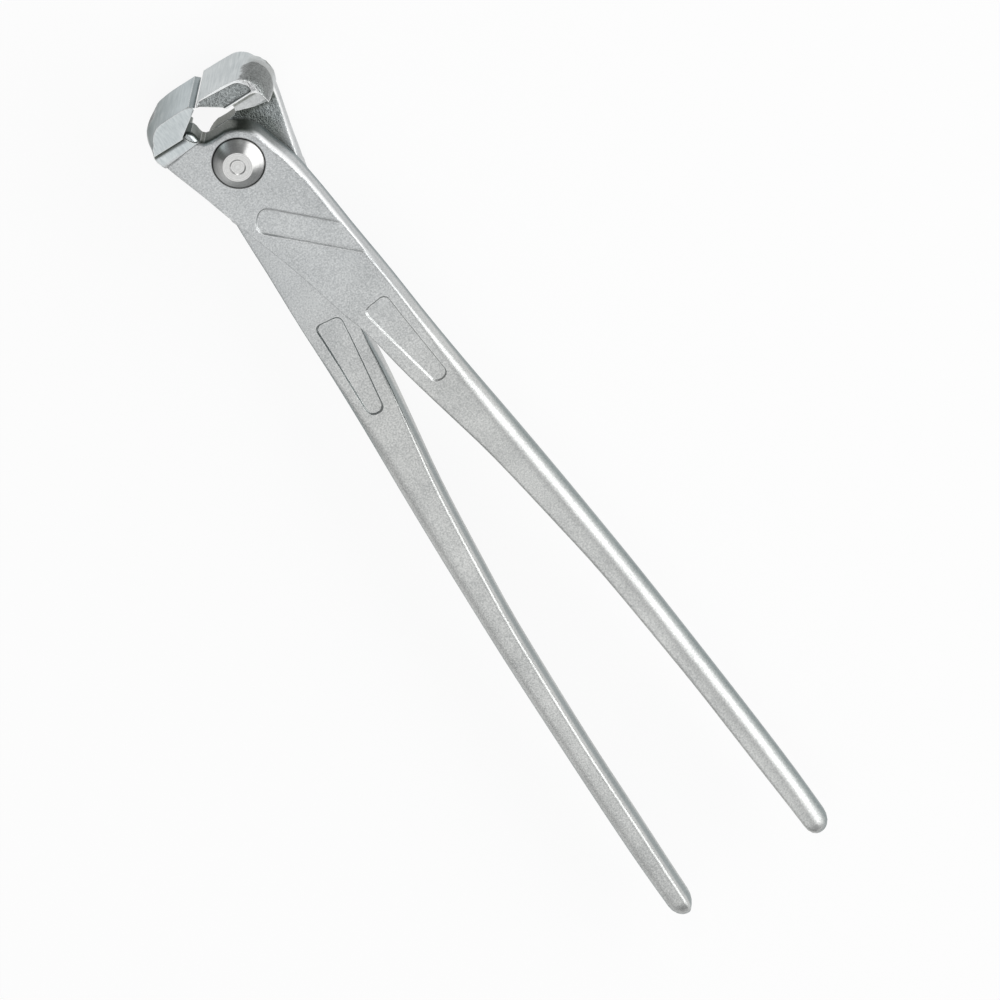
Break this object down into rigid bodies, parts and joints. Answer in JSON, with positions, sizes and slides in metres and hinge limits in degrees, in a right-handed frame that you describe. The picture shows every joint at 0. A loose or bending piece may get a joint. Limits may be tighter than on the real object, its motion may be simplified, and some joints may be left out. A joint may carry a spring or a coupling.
{
  "type": "rebar tying pliers",
  "caption": "End-cutting rebar tying pliers with short wide jaws, long slim spreading handles and one large flush rivet.",
  "frame": {"origin": "on the rivet's axis, at the flat face of the rivet's tail, which is level with the rear sides of the jaws", "axes": "+Z along the rivet's axis towards its dimpled head, +Y along the tool towards the cutting edges, +X towards the front half's handle; the tool lies flat and closed"},
  "size_m": [0.0476, 0.2505, 0.023],
  "materials": {
    "front_half_zinc": "bead blasted, zinc plated, jaws ground",
    "rear_half_zinc": "bead blasted, zinc plated, jaws ground",
    "rivet_steel": "turned, zinc plated"
  },
  "bodies": {
    "front": {"front_half": "front_half_zinc", "joint_rivet": "rivet_steel"},
    "rear": {"rear_half": "rear_half_zinc"}
  },
  "joints": [
    {"name": "jaw_pivot", "type": "hinge", "parent": "front", "child": "rear", "pos_m": [0, 0, 0.0115], "axis": [0, 0, 1], "range_deg": [-80, 0]}
  ]
}
